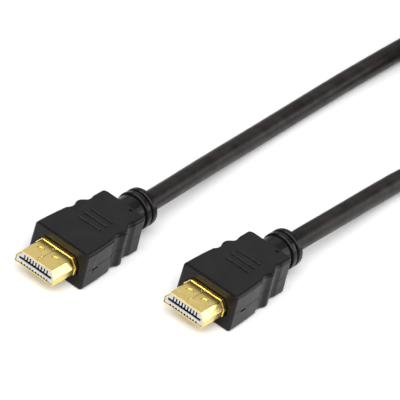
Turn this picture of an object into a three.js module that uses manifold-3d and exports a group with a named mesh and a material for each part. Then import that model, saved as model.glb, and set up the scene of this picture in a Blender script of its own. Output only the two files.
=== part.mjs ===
// A digital video cable with a moulded plug at each end, lying on level ground.
//
// Millimetres, +Z up. The two plugs lie side by side, a little offset, and point along -X, so that
// their cords leave along +X. The ground is z = 0, and the origin is at the bottom centre of the box
// round the two plugs. The length of cord between the plugs is put away in one flat round coil.

import * as THREE from 'three';
import { mergeVertices } from 'three/addons/utils/BufferGeometryUtils.js';
import Module from 'manifold-3d';

const wasm = await Module();
wasm.setup();

// Room left between pieces that are cut, turned or curved
const GAP = 0.3;

// The metal shell: a flat tube with two sloping upper corners, the wide side down
const SHELL_W = 13.9;
const SHELL_H = 4.45;
const SHELL_UPRIGHT = 2.24;
const SHELL_SLOPE = 1.66;
const SHELL_WALL = 0.3;
const SHELL_OUT = 10.0;
const SHELL_ROUND = 0.35;
const COLLAR_LENGTH = 1.2;
const COLLAR_STEP = 0.22;
const DIMPLE_W = 2.4;
const DIMPLE_DEPTH = 0.18;
const DIMPLE_SPACING = 5.2;
const DIMPLE_FROM_FRONT = 4.5;
const SEAM_W = 0.16;
const SEAM_DEPTH = 0.12;
const SEAM_BUMP_START = 1.4;
const SEAM_BUMP_END = 2.5;
const SEAM_BUMP = 0.55;

// The contact block inside the shell
const BLOCK_GAP = 0.12;
const BLOCK_SET_BACK = 0.15;
const CONTACT_PITCH = 1.0;
const LOWER_CONTACTS = 10;
const UPPER_CONTACTS = 9;
const CONTACT_W = 0.3;
const CONTACT_T = 0.18;
const CHANNEL_W = 0.5;
const UPPER_CHANNEL_H = 1.25;
const LOWER_CHANNEL_H = 0.4;
const MOUTH_H = 0.85;
const MOUTH_RISE = -0.3;
const MOUTH_DEPTH = 8.2;
const CONTACT_FROM_FRONT = 1.0;

// The moulded housing: a block with two finger scoops in each side, then a round neck with two rings
const HOUSING_W = 19.3;
const HOUSING_H = 12.0;
const HOUSING_LENGTH = 26.9;
const HOUSING_FRONT_ROUND = 0.45;
const HOUSING_REAR_ROUND = 0.6;
const HOUSING_WAIST_W = 18.2;
const HOUSING_REAR_W = 15.8;
const EDGE_ROUND = 1.1;
const SIDE_DRAFT = 0.25;
const SOCKET_DEPTH = 0.8;
const SCOOP_LENGTH = 4.5;
const SCOOP_ONE = 14.3;
const SCOOP_ONE_DEPTH = 0.7;
const SCOOP_TWO = 20.4;
const SCOOP_TWO_DEPTH = 0.35;
const SHELL_RISE = 0.75;
const NECK_RISE = 0.5;
const BAR_LENGTH = 8.2;
const BAR_W = 0.75;
const BAR_RISE = 0.3;
const BAR_PITCH = 2.75;
const BAR_FIRST = 11.6;
const SLOT_FROM_FRONT = 3.4;
const SLOT_LENGTH = 2.4;
const SLOT_H = 0.6;
const SLOT_DEPTH = 0.6;

// The neck and its rings, as places along the plug behind the housing's front
const NECK_R = 5.2;
const NECK_END = 31.4;
const RING_R = 5.7;
const GROOVE_R = 4.6;
const GROOVE_W = 0.75;
const RING_W = 1.8;
const LAST_RING_W = 1.7;
const PIN_MARK_X = 25.7;
const PIN_MARK_Y = -3.2;
const PIN_MARK_R = 0.55;
const PIN_MARK_DEPTH = 0.35;

// The cord, its coil and the strap round the coil
const CABLE_D = 6.0;
const COIL_X = 170.3;
const COIL_Y = -11.9;
const COIL_TURN_RADII = [28.8, 34.8];
const COIL_LAYERS = 2;
const STRAP_T = 0.9;
const STRAP_W = 10;
const STRAP_ANGLE = -30 * Math.PI / 180;

// Where the plugs lie: the second is further back and beside the first
const PLUG_B_BACK = 20.4;
const PLUG_B_ASIDE = 36.2;

const MIDDLE_Z = HOUSING_H / 2;
const AXIS_Z = MIDDLE_Z + NECK_RISE;
const SHELL_Z = MIDDLE_Z + SHELL_RISE;
const LAST_RING_START = NECK_END + GROOVE_W + RING_W + GROOVE_W;
const BODY_LENGTH = LAST_RING_START + LAST_RING_W;
const PLUG_LENGTH = SHELL_OUT + BODY_LENGTH;
const SHELL_END = SHELL_OUT + SOCKET_DEPTH;
const TIP_A = new THREE.Vector3(-(PLUG_LENGTH + PLUG_B_BACK) / 2, PLUG_B_ASIDE / 2, 0);
const TIP_B = new THREE.Vector3(TIP_A.x + PLUG_B_BACK, -PLUG_B_ASIDE / 2, 0);

// Materials
const gold = () => new THREE.MeshStandardMaterial({ color: 0xd9b45a, roughness: 0.28, metalness: 1.0 });
const contactGold = () => new THREE.MeshStandardMaterial({ color: 0xc79a3c, roughness: 0.35, metalness: 1.0 });
const pale = () => new THREE.MeshStandardMaterial({ color: 0xe9e7e2, roughness: 0.55, metalness: 0.0 });
const black = () => new THREE.MeshStandardMaterial({ color: 0x1f1d20, roughness: 0.5, metalness: 0.0 });
const jacket = () => new THREE.MeshStandardMaterial({ color: 0x1a1817, roughness: 0.45, metalness: 0.0 });
const webbing = () => new THREE.MeshStandardMaterial({ color: 0x151515, roughness: 0.9, metalness: 0.0 });

// Solids: a closed geometry becomes one for cutting and joining, and goes back to a geometry after
function solid(geometry) {
  const bare = geometry.clone();
  bare.deleteAttribute('normal');
  bare.deleteAttribute('uv');
  const merged = mergeVertices(bare, 1e-5);
  return new wasm.Manifold(new wasm.Mesh({
    numProp: 3,
    vertProperties: new Float32Array(merged.attributes.position.array),
    triVerts: new Uint32Array(merged.index.array),
  }));
}

function geometryOf(body) {
  const { vertProperties, triVerts } = body.getMesh();
  const geometry = new THREE.BufferGeometry();
  geometry.setAttribute('position', new THREE.BufferAttribute(new Float32Array(vertProperties), 3));
  geometry.setIndex(new THREE.BufferAttribute(new Uint32Array(triVerts), 1));
  geometry.computeVertexNormals();
  return geometry;
}

function box(x0, x1, y0, y1, z0, z1) {
  const geometry = new THREE.BoxGeometry(x1 - x0, y1 - y0, z1 - z0);
  return geometry.translate((x0 + x1) / 2, (y0 + y1) / 2, (z0 + z1) / 2);
}

// A shape drawn in width and height, run along the plug from x0 to x1
function alongX(shape, x0, x1) {
  const geometry = new THREE.ExtrudeGeometry(shape, { depth: x1 - x0, bevelEnabled: false, curveSegments: 6 });
  const turn = new THREE.Matrix4().makeBasis(
    new THREE.Vector3(0, 1, 0),
    new THREE.Vector3(0, 0, 1),
    new THREE.Vector3(1, 0, 0),
  );
  return geometry.applyMatrix4(turn).translate(x0, 0, 0);
}

// The shell's outline grown outward by a distance, centred on the shell, with rounded corners
function shellShape(grow) {
  const slant = Math.hypot(SHELL_SLOPE, SHELL_H - SHELL_UPRIGHT);
  const rise = (SHELL_H - SHELL_UPRIGHT) / slant;
  const run = SHELL_SLOPE / slant;
  const w = SHELL_W / 2 + grow;
  const h = SHELL_H / 2 + grow;
  const topW = SHELL_W / 2 - SHELL_SLOPE + grow * (1 - run) / rise;
  const bendZ = SHELL_UPRIGHT - SHELL_H / 2 + grow * (1 - rise) / run;
  const corners = [[-w, -h], [w, -h], [w, bendZ], [topW, h], [-topW, h], [-w, bendZ]];
  const radius = Math.max(0.1, SHELL_ROUND + grow);
  const shape = new THREE.Shape();
  corners.forEach((corner, i) => {
    const here = new THREE.Vector2(...corner);
    const before = new THREE.Vector2(...corners[(i + 5) % 6]).sub(here).normalize();
    const after = new THREE.Vector2(...corners[(i + 1) % 6]).sub(here).normalize();
    const half = Math.acos(THREE.MathUtils.clamp(before.dot(after), -1, 1)) / 2;
    const back = radius / Math.tan(half);
    const from = here.clone().addScaledVector(before, back);
    const to = here.clone().addScaledVector(after, back);
    if (i === 0) shape.moveTo(from.x, from.y);
    else shape.lineTo(from.x, from.y);
    shape.quadraticCurveTo(here.x, here.y, to.x, to.y);
  });
  shape.closePath();
  return shape;
}

// The rounded end of each latch dimple points back along the plug
function dimple(side, z0, z1) {
  const r = DIMPLE_W / 2;
  const shape = new THREE.Shape();
  shape.moveTo(0, -r);
  shape.absarc(r * 0.2, 0, r, -Math.PI / 2, Math.PI / 2, false);
  shape.lineTo(0, r);
  shape.closePath();
  const geometry = new THREE.ExtrudeGeometry(shape, { depth: z1 - z0, bevelEnabled: false, curveSegments: 8 });
  return geometry.translate(DIMPLE_FROM_FRONT, side * DIMPLE_SPACING / 2, z0);
}

function shell() {
  let body = solid(alongX(shellShape(0), 0, SHELL_END))
    .add(solid(alongX(shellShape(COLLAR_STEP), SHELL_OUT - COLLAR_LENGTH, SHELL_END)))
    .subtract(solid(alongX(shellShape(-SHELL_WALL), -1, SHELL_END + 1)));
  const top = SHELL_H / 2;
  for (const side of [-1, 1]) {
    body = body
      .subtract(solid(dimple(side, top - DIMPLE_DEPTH, top + 1)))
      .subtract(solid(dimple(side, -top - 1, -top + DIMPLE_DEPTH)));
  }
  const w = SEAM_W / 2;
  const floor = top - SEAM_DEPTH;
  const seam = [
    box(-1, SEAM_BUMP_START, -w, w, floor, top + 1),
    box(SEAM_BUMP_START - w, SEAM_BUMP_START + w, -w, SEAM_BUMP + w, floor, top + 1),
    box(SEAM_BUMP_START - w, SEAM_BUMP_END + w, SEAM_BUMP - w, SEAM_BUMP + w, floor, top + 1),
    box(SEAM_BUMP_END - w, SEAM_BUMP_END + w, -w, SEAM_BUMP + w, floor, top + 1),
    box(SEAM_BUMP_END - w, SHELL_OUT - COLLAR_LENGTH, -w, w, floor, top + 1),
  ];
  for (const cut of seam) body = body.subtract(solid(cut));
  return geometryOf(body).translate(0, 0, SHELL_Z);
}

// Places across the block for a row of contacts
const row = (count) => Array.from({ length: count }, (_, i) => (i - (count - 1) / 2) * CONTACT_PITCH);

// Heights inside the shell, from its centre
const MOUTH_TOP = MOUTH_RISE + MOUTH_H / 2;
const MOUTH_BOTTOM = MOUTH_RISE - MOUTH_H / 2;
const BLOCK_BOTTOM = -SHELL_H / 2 + SHELL_WALL + BLOCK_GAP;
const UPPER_CHANNEL_TOP = MOUTH_TOP + UPPER_CHANNEL_H;
const LOWER_CHANNEL_TOP = BLOCK_BOTTOM + LOWER_CHANNEL_H;

function contactBlock() {
  let body = solid(alongX(shellShape(-SHELL_WALL - BLOCK_GAP), BLOCK_SET_BACK, SHELL_END));
  const reach = (LOWER_CONTACTS + 1) * CONTACT_PITCH / 2 + 0.25;
  body = body.subtract(solid(box(-1, MOUTH_DEPTH, -reach, reach, MOUTH_BOTTOM, MOUTH_TOP)));
  const c = CHANNEL_W / 2;
  for (const y of row(UPPER_CONTACTS)) {
    body = body.subtract(solid(box(-1, SHELL_END + 1, y - c, y + c, MOUTH_TOP - 0.05, UPPER_CHANNEL_TOP)));
  }
  for (const y of row(LOWER_CONTACTS)) {
    const bottom = BLOCK_BOTTOM - 1;
    body = body
      .subtract(solid(box(-1, SHELL_END + 1, y - c, y + c, bottom, LOWER_CHANNEL_TOP)))
      .subtract(solid(box(CONTACT_FROM_FRONT, SHELL_END + 1, y - c, y + c, bottom, MOUTH_BOTTOM + 0.05)));
  }
  return geometryOf(body).translate(0, 0, SHELL_Z);
}

// A contact is a flat spring with a raised nose; the upper row is the lower one turned over
function contact(y, upper) {
  const flip = upper ? -1 : 1;
  const clear = 0.12;
  const bed = upper ? UPPER_CHANNEL_TOP - clear : BLOCK_BOTTOM + clear;
  const nose = upper ? MOUTH_TOP : MOUTH_BOTTOM;
  const start = CONTACT_FROM_FRONT + clear;
  const shape = new THREE.Shape();
  shape.moveTo(start, bed);
  shape.lineTo(SHELL_END, bed);
  shape.lineTo(SHELL_END, bed + flip * CONTACT_T);
  shape.lineTo(start + 3.4, bed + flip * CONTACT_T);
  shape.lineTo(start + 2.2, nose);
  shape.lineTo(start + 1.4, nose);
  shape.lineTo(start, bed + flip * CONTACT_T);
  shape.closePath();
  const geometry = new THREE.ExtrudeGeometry(shape, { depth: CONTACT_W, bevelEnabled: false });
  return geometry.rotateX(Math.PI / 2).translate(0, y + CONTACT_W / 2, SHELL_Z);
}

const smooth = (from, to, x) => THREE.MathUtils.smoothstep(x, from, to);
const hollow = (at, length, x) => Math.max(0, 1 - ((x - at) / (length / 2)) ** 2);
const quarter = (radius, along) => radius - Math.sqrt(Math.max(0, radius ** 2 - (radius - along) ** 2));

// The sides bow in to the waist at the first scoop; the ridge between the scoops starts the narrower rear
const WAIST = SCOOP_ONE - SCOOP_LENGTH / 2;
const RIDGE = (SCOOP_ONE + SCOOP_TWO) / 2;

// How far the housing's block reaches sideways at a place along it
function housingHalfWidth(x) {
  const front = Math.min(x / WAIST, 1) ** 2 * (HOUSING_W - HOUSING_WAIST_W) / 2;
  const rear = smooth(RIDGE, SCOOP_TWO, x) * (HOUSING_WAIST_W - HOUSING_REAR_W) / 2;
  const scoops = hollow(SCOOP_ONE, SCOOP_LENGTH, x) * SCOOP_ONE_DEPTH
    + hollow(SCOOP_TWO, SCOOP_LENGTH, x) * SCOOP_TWO_DEPTH;
  return HOUSING_W / 2 - front - rear - scoops;
}

// The block is a cylinder drawn out to a rounded box, station by station along the plug
function housingBlock() {
  const spread = (from, to, count) => Array.from({ length: count }, (_, i) => from + (to - from) * i / count);
  const scoopsFrom = SCOOP_ONE - SCOOP_LENGTH / 2;
  const scoopsTo = SCOOP_TWO + SCOOP_LENGTH / 2;
  const rearFrom = HOUSING_LENGTH - HOUSING_REAR_ROUND;
  const stations = [
    ...spread(0, HOUSING_FRONT_ROUND, 2),
    ...spread(HOUSING_FRONT_ROUND, scoopsFrom, 3),
    ...spread(scoopsFrom, scoopsTo, 20),
    ...spread(scoopsTo, rearFrom, 2),
    ...spread(rearFrom, HOUSING_LENGTH, 3),
    HOUSING_LENGTH,
  ];
  const around = 28;
  const steps = stations.length - 1;
  const geometry = new THREE.CylinderGeometry(1, 1, 1, around, steps, false, Math.PI / around);
  geometry.rotateZ(-Math.PI / 2).translate(0.5, 0, 0);
  const position = geometry.attributes.position;
  for (let i = 0; i < position.count; i += 1) {
    const x = stations[Math.round(position.getX(i) * steps)];
    const across = position.getY(i);
    const up = position.getZ(i);
    const pull = quarter(HOUSING_FRONT_ROUND, Math.min(x, HOUSING_FRONT_ROUND))
      + quarter(HOUSING_REAR_ROUND, Math.min(HOUSING_LENGTH - x, HOUSING_REAR_ROUND));
    const high = HOUSING_H / 2 - quarter(HOUSING_FRONT_ROUND, Math.min(x, HOUSING_FRONT_ROUND));
    const z = up === 0 ? 0 : Math.sign(up) * (high - EDGE_ROUND) + EDGE_ROUND * up;
    const wide = housingHalfWidth(x) - pull - SIDE_DRAFT * z / HOUSING_H;
    const y = across === 0 ? 0 : Math.sign(across) * (wide - EDGE_ROUND) + EDGE_ROUND * across;
    position.setXYZ(i, x, y, z);
  }
  return geometry;
}

// The neck and rings are turned about the plug's axis
function neck() {
  const profile = [[HOUSING_LENGTH - 6, 0], [HOUSING_LENGTH - 6, NECK_R], [NECK_END, NECK_R]];
  let x = NECK_END;
  for (const width of [RING_W, LAST_RING_W]) {
    profile.push([x, GROOVE_R], [x + GROOVE_W, GROOVE_R]);
    x += GROOVE_W;
    profile.push([x, RING_R - 0.25], [x + 0.25, RING_R], [x + width - 0.25, RING_R], [x + width, RING_R - 0.25]);
    x += width;
  }
  profile.push([x, 0]);
  const points = profile.map(([along, r]) => new THREE.Vector2(r, along));
  return new THREE.LatheGeometry(points, 32).rotateZ(-Math.PI / 2).translate(0, 0, NECK_RISE);
}

// A raised bar across the top of the housing, with round ends
function bar(x) {
  const half = BAR_LENGTH / 2 - BAR_W / 2;
  const r = BAR_W / 2;
  const shape = new THREE.Shape();
  shape.absarc(0, half, r, 0, Math.PI, false);
  shape.absarc(0, -half, r, Math.PI, 2 * Math.PI, false);
  shape.closePath();
  const sink = 0.4;
  const geometry = new THREE.ExtrudeGeometry(shape, {
    depth: sink + BAR_RISE - 0.12,
    bevelThickness: 0.12,
    bevelSize: 0.12,
    bevelOffset: -0.12,
    bevelSegments: 1,
    curveSegments: 5,
  });
  return geometry.translate(x, 0, HOUSING_H / 2 - sink);
}

function housing() {
  let body = solid(housingBlock()).add(solid(neck()));
  for (let i = 0; i < 3; i += 1) body = body.add(solid(bar(BAR_FIRST + i * BAR_PITCH)));
  const socket = alongX(shellShape(COLLAR_STEP + GAP), -1, SOCKET_DEPTH).translate(0, 0, SHELL_RISE);
  body = body.subtract(solid(socket));
  const deep = HOUSING_W / 2 - SLOT_DEPTH;
  const low = -SLOT_H;
  for (const side of [-1, 1]) {
    const slot = box(SLOT_FROM_FRONT, SLOT_FROM_FRONT + SLOT_LENGTH, deep, deep + 3, low, low + SLOT_H);
    body = body.subtract(solid(side > 0 ? slot : slot.translate(0, -2 * deep - 3, 0)));
  }
  const mark = new THREE.CylinderGeometry(PIN_MARK_R, PIN_MARK_R, 2, 12).rotateX(Math.PI / 2);
  body = body.subtract(solid(mark.translate(PIN_MARK_X, PIN_MARK_Y, HOUSING_H / 2 - PIN_MARK_DEPTH + 1)));
  return geometryOf(body).translate(SHELL_OUT, 0, MIDDLE_Z);
}

// Cord
const RADIUS = CABLE_D / 2;
const CORD_STEP = 2.5 * CABLE_D;

// Each lead is given from the end of its plug: along the plug, to its left, and height of the cord's
// middle above the ground. It leaves straight, sinks to the ground and runs on to the coil's side.
const LEAD_A = [
  [0, 0, AXIS_Z], [8, 0.15, AXIS_Z], [18, 0.7, 6.1], [28, 1.45, 5.45], [38, 2.25, 4.65], [48, 2.95, 3.9],
  [60, 3.6, 3.3], [74, 4.15, RADIUS], [88, 4.5, RADIUS], [102, 4.8, RADIUS], [118, 4.95, RADIUS],
  [136.2, 4.9, RADIUS],
];
const LEAD_B = [
  [0, 0, AXIS_Z], [8, 0, AXIS_Z], [18, 0.1, 6.1], [28, 0.4, 5.45], [38, 0.85, 4.65], [48, 1.2, 3.9],
  [57, 1.25, 3.4], [66, 0.6, RADIUS], [75, -1.2, RADIUS], [84, -4.4, 3.2], [92.3, -8.5, 4.0],
  [101.2, -13.5, 5.3],
];

function lead(tip, route) {
  const exit = tip.x + PLUG_LENGTH + GAP;
  const curve = new THREE.CatmullRomCurve3(
    route.map(([along, aside, height]) => new THREE.Vector3(exit + along, tip.y + aside, height)),
    false,
    'centripetal',
  );
  const section = new THREE.Shape();
  const sides = 12;
  for (let i = 0; i < sides; i += 1) {
    const angle = (i + 0.5) * 2 * Math.PI / sides;
    const point = [RADIUS * Math.cos(angle), RADIUS * Math.sin(angle)];
    if (i === 0) section.moveTo(...point);
    else section.lineTo(...point);
  }
  section.closePath();
  const steps = Math.round(curve.getLength() / CORD_STEP);
  return new THREE.ExtrudeGeometry(section, { steps, extrudePath: curve, bevelEnabled: false });
}

// The coil's outer shape, with a low notch underneath for the strap
const COIL_INNER = COIL_TURN_RADII[0] - RADIUS;
const COIL_OUTER = COIL_TURN_RADII.at(-1) + RADIUS;
const COIL_H = COIL_LAYERS * CABLE_D + STRAP_T + 0.1;

function coil() {
  const round = 1.5;
  const profile = [
    [COIL_INNER + round, 0], [COIL_OUTER - round, 0], [COIL_OUTER, round], [COIL_OUTER, COIL_H - round],
    [COIL_OUTER - round, COIL_H], [COIL_INNER + round, COIL_H], [COIL_INNER, COIL_H - round],
    [COIL_INNER, round], [COIL_INNER + round, 0],
  ];
  const ring = new THREE.LatheGeometry(profile.map((p) => new THREE.Vector2(...p)), 48).rotateX(Math.PI / 2);
  const half = STRAP_W / 2 + GAP;
  const notch = box(COIL_INNER - 3, COIL_OUTER + 3, -half, half, -1, STRAP_T + GAP).rotateZ(STRAP_ANGLE);
  return geometryOf(solid(ring).subtract(solid(notch))).translate(COIL_X, COIL_Y, 0);
}

// A flat strap that goes once round the coil's section
function strap() {
  const loop = (grow) => {
    const x0 = Math.sqrt(COIL_INNER ** 2 - (STRAP_W / 2) ** 2) - GAP - grow;
    const x1 = COIL_OUTER + GAP + grow;
    const z0 = STRAP_T - grow;
    const z1 = COIL_H + GAP + grow;
    const r = 0.6 + grow;
    const path = new THREE.Shape();
    path.moveTo(x0 + r, z0);
    path.lineTo(x1 - r, z0);
    path.quadraticCurveTo(x1, z0, x1, z0 + r);
    path.lineTo(x1, z1 - r);
    path.quadraticCurveTo(x1, z1, x1 - r, z1);
    path.lineTo(x0 + r, z1);
    path.quadraticCurveTo(x0, z1, x0, z1 - r);
    path.lineTo(x0, z0 + r);
    path.quadraticCurveTo(x0, z0, x0 + r, z0);
    return path;
  };
  const outline = loop(STRAP_T);
  outline.holes.push(loop(0));
  const geometry = new THREE.ExtrudeGeometry(outline, { depth: STRAP_W, bevelEnabled: false, curveSegments: 4 });
  return geometry.rotateX(Math.PI / 2).translate(0, STRAP_W / 2, 0)
    .rotateZ(STRAP_ANGLE).translate(COIL_X, COIL_Y, 0);
}

const cable = new THREE.Group();

function place(name, geometry, material, at = new THREE.Vector3()) {
  const mesh = new THREE.Mesh(geometry, material);
  mesh.name = name;
  mesh.position.copy(at);
  cable.add(mesh);
}

for (const [letter, tip] of [['a', TIP_A], ['b', TIP_B]]) {
  place(`housing_${letter}`, housing(), black(), tip);
  place(`shell_${letter}`, shell(), gold(), tip);
  place(`contact_block_${letter}`, contactBlock(), pale(), tip);
  row(LOWER_CONTACTS).forEach((y, i) => {
    place(`contact_${letter}_lower_${i + 1}`, contact(y, false), contactGold(), tip);
  });
  row(UPPER_CONTACTS).forEach((y, i) => {
    place(`contact_${letter}_upper_${i + 1}`, contact(y, true), contactGold(), tip);
  });
}
place('cable_lead_a', lead(TIP_A, LEAD_A), jacket());
place('cable_lead_b', lead(TIP_B, LEAD_B), jacket());
place('cable_coil', coil(), jacket());
place('coil_strap', strap(), webbing());

export default cable;
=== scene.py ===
# %% [markdown]
# # A digital video cable on a pale floor
# One black cord with a moulded plug at each end. The plugs lie side by side and their cords run off
# together. The unseen length is put away in a flat coil outside the camera's view. Sizes are metres.

# %% Load the frame
import math

import bmesh
import bpy
from mathutils import Matrix, Vector


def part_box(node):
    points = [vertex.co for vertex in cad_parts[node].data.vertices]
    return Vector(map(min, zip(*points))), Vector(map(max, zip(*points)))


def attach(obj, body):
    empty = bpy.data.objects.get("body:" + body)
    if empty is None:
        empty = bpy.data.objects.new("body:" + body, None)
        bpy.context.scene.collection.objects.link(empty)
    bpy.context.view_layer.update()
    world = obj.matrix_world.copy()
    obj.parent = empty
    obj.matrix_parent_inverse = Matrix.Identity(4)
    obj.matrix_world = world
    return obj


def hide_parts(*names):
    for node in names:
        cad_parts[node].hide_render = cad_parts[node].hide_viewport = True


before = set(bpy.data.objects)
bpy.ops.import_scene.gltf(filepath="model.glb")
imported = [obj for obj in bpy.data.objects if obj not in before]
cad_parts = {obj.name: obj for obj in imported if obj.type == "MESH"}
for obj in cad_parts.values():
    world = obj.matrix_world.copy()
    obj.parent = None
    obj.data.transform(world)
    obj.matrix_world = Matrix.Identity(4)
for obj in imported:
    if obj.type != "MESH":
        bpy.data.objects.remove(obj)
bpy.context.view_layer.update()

MM = 0.001

# %% [markdown]
# ## Where things are
# The plugs' places come from the frame. The tip is the shell's front, and the cord leaves the last
# ring of the housing on the plug's axis.

# %% Places taken from the frame
BODY = "root"


def plug_places(letter):
    shell_low, shell_high = map(Vector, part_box(f"shell_{letter}"))
    housing_low, housing_high = map(Vector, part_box(f"housing_{letter}"))
    return {
        "tip": shell_low.x,
        "side": (housing_low.y + housing_high.y) / 2,
        "rear": housing_high.x,
        "shell": (shell_low, shell_high),
    }


PLUGS = {letter: plug_places(letter) for letter in "ab"}
print({letter: (p["tip"], p["side"], p["rear"]) for letter, p in PLUGS.items()})

# %% [markdown]
# ## Camera
# The camera looks from well above and in front of the plugs, through a long lens, and is tilted about
# its own line of sight, because the cords run across the photograph at that slope.

# %% Camera
VIEW_AROUND = math.radians(209.31)
VIEW_ABOVE = math.radians(35.49)
VIEW_TILT = math.radians(15.74)
VIEW_DISTANCE = 1.19989
PIXELS = 400
LENS_PIXELS = 4395.8
VIEW_RIGHT = 11.66 * MM
VIEW_UP = 20.64 * MM
SENSOR = 36.0


def camera_axes():
    back = Vector((
        math.cos(VIEW_ABOVE) * math.cos(VIEW_AROUND),
        math.cos(VIEW_ABOVE) * math.sin(VIEW_AROUND),
        math.sin(VIEW_ABOVE),
    ))
    level = Vector((-math.sin(VIEW_AROUND), math.cos(VIEW_AROUND), 0.0))
    rise = back.cross(level)
    right = math.cos(VIEW_TILT) * level + math.sin(VIEW_TILT) * rise
    up = -math.sin(VIEW_TILT) * level + math.cos(VIEW_TILT) * rise
    return right, up, back


def make_camera():
    right, up, back = camera_axes()
    data = bpy.data.cameras.new("photo_camera")
    data.type = "PERSP"
    data.sensor_width = SENSOR
    data.lens = LENS_PIXELS * SENSOR / PIXELS
    data.clip_start = 0.05
    data.clip_end = 20.0
    camera = bpy.data.objects.new("photo_camera", data)
    bpy.context.scene.collection.objects.link(camera)
    turn = Matrix((right, up, back)).transposed()
    place = back * VIEW_DISTANCE + right * VIEW_RIGHT + up * VIEW_UP
    camera.matrix_world = Matrix.Translation(place) @ turn.to_4x4()
    bpy.context.scene.camera = camera
    return camera


CAMERA = make_camera()
print("camera at", tuple(round(v, 4) for v in CAMERA.matrix_world.translation))

# %% [markdown]
# ## Cord
# A stiff round cord leaves each plug straight, sinks to the floor and runs on. Between the plugs it
# is wound in two layers, a little over three and a half turns in all. The points of the free
# stretches are those of the CAD model.

# %% Cord route
CORD_D = 6.0 * MM
CORD_R = CORD_D / 2
AXIS_Z = 6.5 * MM
EXIT_GAP = 0.3 * MM
LEAD_A = [
    (0, 0, 6.5), (8, 0.15, 6.5), (18, 0.7, 6.1), (28, 1.45, 5.45), (38, 2.25, 4.65), (48, 2.95, 3.9),
    (60, 3.6, 3.3), (74, 4.15, 3.0), (88, 4.5, 3.0), (102, 4.8, 3.0), (118, 4.95, 3.0),
    (136.2, 4.9, 3.0),
]
LEAD_B = [
    (0, 0, 6.5), (8, 0, 6.5), (18, 0.1, 6.1), (28, 0.4, 5.45), (38, 0.85, 4.65), (48, 1.2, 3.9),
    (57, 1.25, 3.4), (66, 0.6, 3.0), (75, -1.2, 3.0), (84, -4.4, 3.2), (92.3, -8.5, 4.0),
    (101.2, -13.5, 5.3),
]
COIL_CENTRE = Vector((170.3, -11.9, 0.0)) * MM
TURN_INNER = 28.8 * MM
TURN_OUTER = 34.8 * MM
STRAP_LIFT = 1.0 * MM
STRAP_TURN = 120.0
STRAP_SPREAD = 35.0
ENTRY_ANGLE = 90.0
WOUND = 1290.0
COIL_STEPS = 129
STEP_IN = (285.0, 360.0)
CLIMB = (585.0, 645.0)
STEP_OUT = (925.0, 985.0)
LINE_SPACING = 2 * MM


def smooth(span, x):
    t = min(max((x - span[0]) / (span[1] - span[0]), 0.0), 1.0)
    return t * t * (3 - 2 * t)


def lift(wound):
    """How far the strap under the cord raises it at this angle, in degrees wound."""
    away = abs((wound - STRAP_TURN + 180.0) % 360.0 - 180.0)
    return STRAP_LIFT * 0.5 * (1 + math.cos(math.pi * min(away / STRAP_SPREAD, 1.0)))


def coil_points():
    points = []
    for i in range(1, COIL_STEPS):
        wound = WOUND * i / COIL_STEPS
        radius = TURN_OUTER - CORD_D * (smooth(STEP_IN, wound) - smooth(STEP_OUT, wound))
        angle = math.radians(ENTRY_ANGLE - wound)
        height = CORD_R + CORD_D * smooth(CLIMB, wound) + lift(wound)
        turn = Vector((radius * math.cos(angle), radius * math.sin(angle), height))
        points.append(COIL_CENTRE + turn)
    return points


def lead_points(plug, route):
    start = Vector((plug["rear"] + EXIT_GAP, plug["side"], 0.0))
    return [start + Vector(point) * MM for point in route]


def through(points, spacing):
    """A smooth line through the points, as points about the given spacing apart."""
    ends = [2 * points[0] - points[1]] + points + [2 * points[-1] - points[-2]]
    line = []
    for p0, p1, p2, p3 in zip(ends, ends[1:], ends[2:], ends[3:]):
        t1 = (p1 - p0).length ** 0.5
        t2 = t1 + (p2 - p1).length ** 0.5
        t3 = t2 + (p3 - p2).length ** 0.5
        count = max(2, round((p2 - p1).length / spacing))
        for i in range(count):
            t = t1 + (t2 - t1) * i / count
            a1 = p0.lerp(p1, t / t1)
            a2 = p1.lerp(p2, (t - t1) / (t2 - t1))
            a3 = p2.lerp(p3, (t - t2) / (t3 - t2))
            b1 = a1.lerp(a2, t / t2)
            b2 = a2.lerp(a3, (t - t1) / (t3 - t1))
            line.append(b1.lerp(b2, (t - t1) / (t2 - t1)))
    return line + [points[-1]]


EXIT_A = Vector((PLUGS["a"]["rear"], PLUGS["a"]["side"], AXIS_Z))
EXIT_B = Vector((PLUGS["b"]["rear"], PLUGS["b"]["side"], AXIS_Z))
ROUTE = [EXIT_A] + lead_points(PLUGS["a"], LEAD_A)[1:] + coil_points()
ROUTE += lead_points(PLUGS["b"], LEAD_B)[:0:-1] + [EXIT_B]
CORD_LINE = through(ROUTE, LINE_SPACING)
CORD_LENGTH = sum((b - a).length for a, b in zip(CORD_LINE, CORD_LINE[1:]))
print("cord length", round(CORD_LENGTH, 4), "points", len(CORD_LINE))


# %% Cord piece
WELD_DISTANCE = 0.001 * MM
RIDGE_SIDES = 3
CORD_SIDES = 8


def curve_piece(name, line, radius, sides):
    """A closed round tube along the line, as a mesh whose ends are joined to its caps."""
    data = bpy.data.curves.new(name, "CURVE")
    data.dimensions = "3D"
    data.bevel_depth = radius
    data.bevel_resolution = sides
    data.use_fill_caps = True
    spline = data.splines.new("POLY")
    spline.points.add(len(line) - 1)
    for point, place in zip(spline.points, line):
        point.co = (*place, 1.0)
    spline.use_smooth = True
    path = bpy.data.objects.new(f"{name}_path", data)
    bpy.context.scene.collection.objects.link(path)
    swept = path.evaluated_get(bpy.context.evaluated_depsgraph_get())
    mesh = bpy.data.meshes.new_from_object(swept)
    bpy.data.objects.remove(path)
    form = bmesh.new()
    form.from_mesh(mesh)
    bmesh.ops.remove_doubles(form, verts=form.verts, dist=WELD_DISTANCE)
    form.to_mesh(mesh)
    form.free()
    piece = bpy.data.objects.new(name, mesh)
    bpy.context.scene.collection.objects.link(piece)
    return piece


CORD = curve_piece("cord", CORD_LINE, CORD_R, CORD_SIDES)
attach(CORD, BODY)
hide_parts("cable_lead_a", "cable_lead_b", "cable_coil")

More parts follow.
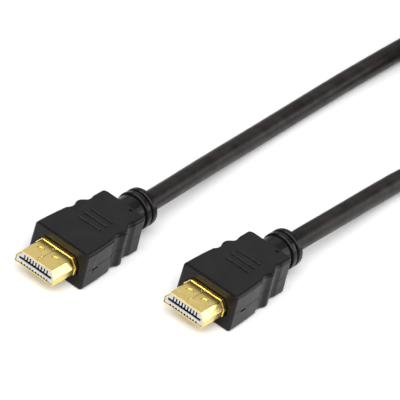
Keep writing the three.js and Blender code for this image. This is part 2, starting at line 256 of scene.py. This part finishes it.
# %% [markdown]
# ## Materials
# Every finish is made from nodes. Its noise is in object space, so that grain and wear keep their
# real size.

# %% Material helpers
def material(name):
    made = bpy.data.materials.new(name)
    made.use_nodes = True
    tree = made.node_tree
    tree.nodes.clear()
    out = tree.nodes.new("ShaderNodeOutputMaterial")
    shader = tree.nodes.new("ShaderNodeBsdfPrincipled")
    tree.links.new(shader.outputs["BSDF"], out.inputs["Surface"])
    return made, tree, shader


def noise(tree, scale, detail=2.0, roughness=0.5):
    coordinates = tree.nodes.new("ShaderNodeTexCoord")
    texture = tree.nodes.new("ShaderNodeTexNoise")
    texture.inputs["Scale"].default_value = scale
    texture.inputs["Detail"].default_value = detail
    texture.inputs["Roughness"].default_value = roughness
    tree.links.new(coordinates.outputs["Object"], texture.inputs["Vector"])
    return texture.outputs["Fac"]


def ramp(tree, source, low, high, start=0.3, end=0.7):
    node = tree.nodes.new("ShaderNodeValToRGB")
    node.color_ramp.elements[0].position = start
    node.color_ramp.elements[1].position = end
    node.color_ramp.elements[0].color = low
    node.color_ramp.elements[1].color = high
    tree.links.new(source, node.inputs["Fac"])
    return node.outputs["Color"]


def spread(tree, source, low, high):
    node = tree.nodes.new("ShaderNodeMapRange")
    node.inputs["To Min"].default_value = low
    node.inputs["To Max"].default_value = high
    tree.links.new(source, node.inputs["Value"])
    return node.outputs["Result"]


def bump(tree, source, strength, distance):
    node = tree.nodes.new("ShaderNodeBump")
    node.inputs["Strength"].default_value = strength
    node.inputs["Distance"].default_value = distance
    tree.links.new(source, node.inputs["Height"])
    return node


# %% Moulded black plastic
def moulded_black():
    made, tree, shader = material("moulded_black")
    low, high = (0.0045, 0.004, 0.0044, 1), (0.0085, 0.0076, 0.008, 1)
    colour = ramp(tree, noise(tree, 220.0, 4.0), low, high)
    tree.links.new(colour, shader.inputs["Base Color"])
    shader.inputs["Specular IOR Level"].default_value = 0.2
    tree.links.new(spread(tree, noise(tree, 700.0, 3.0), 0.24, 0.4), shader.inputs["Roughness"])
    grain = bump(tree, noise(tree, 3600.0, 3.0, 0.6), 0.3, 0.00003)
    waves = bump(tree, noise(tree, 260.0, 2.0), 0.25, 0.0001)
    tree.links.new(waves.outputs["Normal"], grain.inputs["Normal"])
    tree.links.new(grain.outputs["Normal"], shader.inputs["Normal"])
    return made


# %% Gold-coloured plating
def plated_gold(name, low, high):
    made, tree, shader = material(name)
    colour = ramp(tree, noise(tree, 350.0, 3.0), low, high)
    tree.links.new(colour, shader.inputs["Base Color"])
    shader.inputs["Metallic"].default_value = 1.0
    tree.links.new(spread(tree, noise(tree, 900.0, 3.0), 0.16, 0.34), shader.inputs["Roughness"])
    grain = bump(tree, noise(tree, 700.0, 3.0), 0.16, 0.00006)
    tree.links.new(grain.outputs["Normal"], shader.inputs["Normal"])
    return made


# %% Pale moulded plastic of the contact block, with painted shade inside
COLOUR_A, COLOUR_B = 6, 7
MIXED_COLOUR = 2
# Painted shade: between these depths behind the block's front face, the colour darkens to near black.
BLOCK_PAINTED_SHADE_FROM = 0.06 * MM
BLOCK_PAINTED_SHADE_AT = 0.35 * MM


def pale_plastic_with_painted_shade(letter):
    """Pale at the front face, with painted shade inside the mouth and channels, where the colour turns
    near black.
    """
    made, tree, shader = material(f"pale_plastic_with_painted_shade_{letter}")
    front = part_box(f"contact_block_{letter}")[0][0]
    place = tree.nodes.new("ShaderNodeNewGeometry")
    parts = tree.nodes.new("ShaderNodeSeparateXYZ")
    tree.links.new(place.outputs["Position"], parts.inputs["Vector"])
    depth = tree.nodes.new("ShaderNodeMapRange")
    depth.inputs["From Min"].default_value = front + BLOCK_PAINTED_SHADE_FROM
    depth.inputs["From Max"].default_value = front + BLOCK_PAINTED_SHADE_AT
    tree.links.new(parts.outputs["X"], depth.inputs["Value"])
    face = ramp(tree, noise(tree, 500.0, 2.0), (0.42, 0.42, 0.41, 1), (0.5, 0.5, 0.48, 1))
    mix = tree.nodes.new("ShaderNodeMix")
    mix.data_type = "RGBA"
    tree.links.new(depth.outputs["Result"], mix.inputs["Factor"])
    tree.links.new(face, mix.inputs[COLOUR_A])
    # Near-black colour of the painted shade inside the mouth and channels.
    mix.inputs[COLOUR_B].default_value = (0.004, 0.004, 0.004, 1)
    tree.links.new(mix.outputs[MIXED_COLOUR], shader.inputs["Base Color"])
    tree.links.new(spread(tree, noise(tree, 1800.0, 2.0), 0.3, 0.45), shader.inputs["Roughness"])
    grain = bump(tree, noise(tree, 5000.0, 2.0), 0.1, 0.00002)
    tree.links.new(grain.outputs["Normal"], shader.inputs["Normal"])
    return made


# %% Cord jacket
def cord_jacket():
    made, tree, shader = material("cord_jacket")
    low, high = (0.006, 0.0045, 0.004, 1), (0.02, 0.016, 0.0148, 1)
    colour = ramp(tree, noise(tree, 240.0, 5.0), low, high)
    tree.links.new(colour, shader.inputs["Base Color"])
    shader.inputs["Specular IOR Level"].default_value = 0.2
    tree.links.new(spread(tree, noise(tree, 420.0, 4.0), 0.28, 0.55), shader.inputs["Roughness"])
    grain = bump(tree, noise(tree, 620.0, 4.0), 0.45, 0.0002)
    tree.links.new(grain.outputs["Normal"], shader.inputs["Normal"])
    return made


# %% Woven strap
def woven_strap():
    made, tree, shader = material("woven_strap")
    colour = ramp(tree, noise(tree, 900.0, 3.0), (0.012, 0.012, 0.012, 1), (0.03, 0.03, 0.03, 1))
    tree.links.new(colour, shader.inputs["Base Color"])
    shader.inputs["Roughness"].default_value = 0.9
    weave = tree.nodes.new("ShaderNodeTexWave")
    coordinates = tree.nodes.new("ShaderNodeTexCoord")
    weave.inputs["Scale"].default_value = 900.0
    weave.inputs["Distortion"].default_value = 1.5
    tree.links.new(coordinates.outputs["Object"], weave.inputs["Vector"])
    grain = bump(tree, weave.outputs["Fac"], 0.5, 0.0002)
    tree.links.new(grain.outputs["Normal"], shader.inputs["Normal"])
    return made


# %% Give the CAD pieces their finishes
FINISHES = {
    "housing": moulded_black(),
    "shell": plated_gold("shell_plating", (0.80, 0.60, 0.20, 1), (0.88, 0.70, 0.28, 1)),
    "contact_block_a": pale_plastic_with_painted_shade("a"),
    "contact_block_b": pale_plastic_with_painted_shade("b"),
    # The contacts are gold plated. Their colour is darkened here as painted shade, for the dark inside
    # of the mouth.
    "contact": plated_gold("contact_plating_painted_shade", (0.12, 0.09, 0.04, 1), (0.2, 0.15, 0.07, 1)),
    "coil_strap": woven_strap(),
}


def finish_of(node):
    names = [name for name in FINISHES if node.startswith(name)]
    return FINISHES[max(names, key=len)]


for node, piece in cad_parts.items():
    if node.startswith("cable"):
        continue
    piece.data.materials.clear()
    piece.data.materials.append(finish_of(node))
CORD.data.materials.append(cord_jacket())

# %% [markdown]
# ## Softened edges
# Moulded and stamped edges are never sharp. A narrow bevel is added to the housings, the shells and
# the contact blocks, so that their edges catch the light.

# %% Edge softening
EDGE_SOFTNESS = {"housing": 0.16 * MM, "shell": 0.07 * MM, "contact_block": 0.05 * MM}
EDGE_ANGLE = math.radians(35)


def soften(piece, width):
    weld = piece.modifiers.new("weld", "WELD")
    weld.merge_threshold = WELD_DISTANCE
    bevel = piece.modifiers.new("soft_edges", "BEVEL")
    bevel.width = width
    bevel.segments = 2
    bevel.limit_method = "ANGLE"
    bevel.angle_limit = EDGE_ANGLE
    bevel.use_clamp_overlap = True


for node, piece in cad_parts.items():
    for start, width in EDGE_SOFTNESS.items():
        if node.startswith(start):
            soften(piece, width)

# %% [markdown]
# ## Fine relief
# The shell is folded from sheet. The fold's seam runs down its top with a small interlocking bump, and
# two tabs lie where it meets the collar. The places are millimetres from the shell's tip and middle.

# %% Shell seams
COLLAR_STEP = 0.22 * MM
RIDGE_R = 0.07 * MM
RIDGE_SPACING = 0.2 * MM
SEAM_BUMP = [(1.3, 0.0), (1.42, 0.42), (1.7, 0.56), (2.2, 0.56), (2.46, 0.42), (2.58, 0.0)]
TABS = [[(8.35, -0.2), (8.35, 0.55)], [(7.75, 0.35), (7.75, 1.0)]]


def ridge(name, points, radius, finish):
    piece = curve_piece(name, through(points, RIDGE_SPACING), radius, RIDGE_SIDES)
    piece.data.materials.append(finish)
    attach(piece, BODY)
    return piece


def shell_ridges(letter):
    low, high = PLUGS[letter]["shell"]
    top = high.z - COLLAR_STEP
    made = []
    for number, line in enumerate([SEAM_BUMP] + TABS, 1):
        side = PLUGS[letter]["side"]
        points = [Vector((low.x + x * MM, side + y * MM, top)) for x, y in line]
        made.append(ridge(f"shell_ridge_{letter}_{number}", points, RIDGE_R, FINISHES["shell"]))
    return made


RIDGES = [piece for letter in "ab" for piece in shell_ridges(letter)]
print("shell ridges", [piece.name for piece in RIDGES])

# %% [markdown]
# The housing's two mould halves meet in a fine raised line along its sides, which stops at the small
# slot on each side. It follows the surface of the housing, found by rays from beside it.

# %% Parting lines
PARTING_R = 0.06 * MM
PARTING_RUNS = [(0.9, 3.1), (6.1, 25.6)]
PARTING_STEP = 0.5 * MM


def parting_lines(letter):
    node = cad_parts[f"housing_{letter}"]
    low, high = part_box(node.name)
    height = (low[2] + high[2]) / 2
    to_node = node.matrix_world.inverted()
    made = []
    for side, word, outside in ((-1, "right", low[1] - MM), (1, "left", high[1] + MM)):
        inwards = to_node.to_3x3() @ Vector((0, -side, 0))
        for number, (start, end) in enumerate(PARTING_RUNS, 1):
            points = []
            count = max(2, round((end - start) * MM / PARTING_STEP))
            for step in range(count + 1):
                x = low[0] + (start + (end - start) * step / count) * MM
                hit, place, _, _ = node.ray_cast(to_node @ Vector((x, outside, height)), inwards)
                if hit:
                    points.append(node.matrix_world @ place)
            name = f"parting_{letter}_{word}_{number}"
            made.append(ridge(name, points, PARTING_R, FINISHES["housing"]))
    return made


PARTINGS = [piece for letter in "ab" for piece in parting_lines(letter)]
print("parting lines", [piece.name for piece in PARTINGS])

# %% [markdown]
# ## Floor and light
# A plain pale floor and even, soft light, as in a cut-out catalogue picture.

# %% Floor
FLOOR_HALF = 3.0


def make_floor():
    data = bpy.data.meshes.new("floor")
    half = FLOOR_HALF
    corners = [(-half, -half, 0), (half, -half, 0), (half, half, 0), (-half, half, 0)]
    data.from_pydata(corners, [], [(0, 1, 2, 3)])
    floor = bpy.data.objects.new("floor", data)
    bpy.context.scene.collection.objects.link(floor)
    made, tree, shader = material("pale_floor")
    colour = ramp(tree, noise(tree, 3.0, 2.0), (0.9, 0.9, 0.9, 1), (0.93, 0.93, 0.93, 1))
    tree.links.new(colour, shader.inputs["Base Color"])
    shader.inputs["Roughness"].default_value = 0.8
    data.materials.append(made)


make_floor()


# %% Lights
def area_light(name, place, aim, size, power):
    data = bpy.data.lights.new(name, "AREA")
    data.shape = "RECTANGLE"
    data.size, data.size_y = size
    data.energy = power
    light = bpy.data.objects.new(name, data)
    bpy.context.scene.collection.objects.link(light)
    light.location = place
    light.rotation_euler = (Vector(aim) - Vector(place)).to_track_quat("-Z", "Y").to_euler()


def make_world(strength):
    world = bpy.data.worlds.new("studio")
    world.use_nodes = True
    background = world.node_tree.nodes["Background"]
    background.inputs["Color"].default_value = (1, 1, 1, 1)
    background.inputs["Strength"].default_value = strength
    bpy.context.scene.world = world


make_world(0.2)
area_light("overhead", (-0.55, -0.35, 0.9), (0, 0, 0), (1.4, 1.4), 23)
area_light("right_panel", (0.56, -0.45, 0.24), (0, 0, 0.01), (0.5, 0.3), 1.6)
area_light("rear_panel", (0.86, 0.48, 0.69), (0, 0, 0.01), (0.9, 0.6), 1.1)
area_light("front_left", (-0.58, 0.42, 0.7), (0, 0, 0.01), (0.3, 0.3), 2.4)
bpy.context.scene.view_settings.view_transform = "Standard"

# %% Update the scene
bpy.context.view_layer.update()
